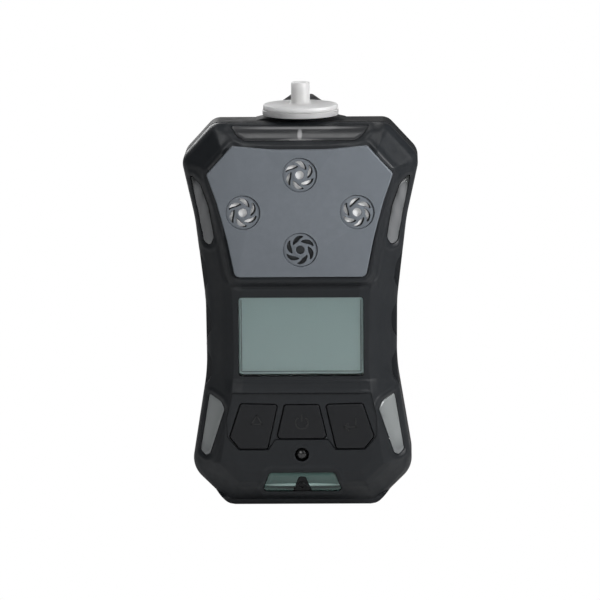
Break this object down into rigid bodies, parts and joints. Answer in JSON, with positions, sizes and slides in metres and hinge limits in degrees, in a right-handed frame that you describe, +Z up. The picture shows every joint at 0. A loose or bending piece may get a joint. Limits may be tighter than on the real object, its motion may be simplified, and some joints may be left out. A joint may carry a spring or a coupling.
{
  "type": "gas detector",
  "caption": "Handheld gas detector: rubber-armoured case with sensor cover, display, keys, alarm windows, pumped inlet with disc filter and belt clip.",
  "frame": {"origin": "centre of the flat base, on the rear cover", "axes": "+Z up from the base to the inlet, +X to the right seen from the front, -Y out of the front face"},
  "size_m": [0.079, 0.0477, 0.1421],
  "materials": {
    "armour_rubber": "satin",
    "black_plastic": "satin",
    "grey_plastic": "fine grain",
    "soft_rubber": "matt",
    "window_plastic": "smooth, see-through",
    "display_plastic": "polished",
    "lcd_glass": "polished",
    "white_plastic": "satin",
    "filter_plastic": "smooth, slightly see-through",
    "filter_cloth": "matt",
    "clear_tube": "smooth",
    "board_green": "satin",
    "battery_wrap": "satin",
    "plated_steel": "bright",
    "dark_steel": "satin",
    "gold_contact": "bright"
  },
  "bodies": {
    "housing": {"front_cover": "armour_rubber", "rear_cover": "black_plastic", "window_bottom_boss": "black_plastic", "buzzer": "black_plastic", "buzzer_port_dome": "black_plastic", "inlet_socket": "black_plastic", "pump_head": "black_plastic", "charge_contact_block": "black_plastic", "switch_left": "black_plastic", "switch_power": "black_plastic", "switch_right": "black_plastic", "sensor_cover": "grey_plastic", "housing_seal": "soft_rubber", "sensor_gasket": "soft_rubber", "inlet_ring_seal": "soft_rubber", "window_top": "window_plastic", "window_bottom": "window_plastic", "window_upper_left": "window_plastic", "window_upper_right": "window_plastic", "window_lower_left": "window_plastic", "window_lower_right": "window_plastic", "display_lens": "display_plastic", "lcd_panel": "lcd_glass", "backlight": "white_plastic", "sensor_top": "white_plastic", "sensor_left": "white_plastic", "sensor_right": "white_plastic", "sensor_bottom": "white_plastic", "membrane_top": "filter_cloth", "membrane_left": "filter_cloth", "membrane_right": "filter_cloth", "membrane_bottom": "filter_cloth", "inlet_tube": "clear_tube", "outlet_tube": "clear_tube", "main_board": "board_green", "sensor_board": "board_green", "battery_pack": "battery_wrap", "clip_base": "dark_steel", "clip_pin": "plated_steel", "clip_spring": "plated_steel", "clip_screw_lower": "plated_steel", "clip_screw_upper": "plated_steel", "housing_screw_lower_left": "plated_steel", "housing_screw_lower_right": "plated_steel", "housing_screw_upper_left": "plated_steel", "housing_screw_upper_right": "plated_steel", "pump_motor": "plated_steel", "vibration_motor": "plated_steel", "charge_contact_left": "gold_contact", "charge_contact_right": "gold_contact"},
    "filter": {"filter_base": "filter_plastic", "filter_membrane": "filter_cloth", "filter_cap": "filter_plastic"},
    "key_left": {"key_left": "soft_rubber"},
    "key_power": {"key_power": "soft_rubber"},
    "key_right": {"key_right": "soft_rubber"},
    "clip_lever": {"clip_lever": "dark_steel"},
    "pump_wheel": {"pump_eccentric": "plated_steel"},
    "vibration_weight": {"vibration_weight": "plated_steel"}
  },
  "joints": [
    {"name": "filter_pull", "type": "slide", "parent": "housing", "child": "filter", "axis": [0, 0, 1], "range_m": [0, 0.012]},
    {"name": "key_left_press", "type": "slide", "parent": "housing", "child": "key_left", "axis": [0, 1, 0], "range_m": [0, 0.0008], "stiffness_N_per_m": 2500, "springref_m": -0.0002},
    {"name": "key_power_press", "type": "slide", "parent": "housing", "child": "key_power", "axis": [0, 1, 0], "range_m": [0, 0.0008], "stiffness_N_per_m": 2500, "springref_m": -0.0002},
    {"name": "key_right_press", "type": "slide", "parent": "housing", "child": "key_right", "axis": [0, 1, 0], "range_m": [0, 0.0008], "stiffness_N_per_m": 2500, "springref_m": -0.0002},
    {"name": "clip_hinge", "type": "hinge", "parent": "housing", "child": "clip_lever", "pos_m": [0, 0.0199, 0.108], "axis": [1, 0, 0], "range_deg": [0, 14], "stiffness_Nm_per_rad": 0.8, "springref_deg": -17.19},
    {"name": "pump_spin", "type": "hinge", "parent": "housing", "child": "pump_wheel", "pos_m": [0.018, 0.0076, 0.0993], "axis": [0, 0, 1], "continuous": true},
    {"name": "weight_spin", "type": "hinge", "parent": "housing", "child": "vibration_weight", "pos_m": [-0.0029, 0, 0.013], "axis": [1, 0, 0], "continuous": true}
  ]
}
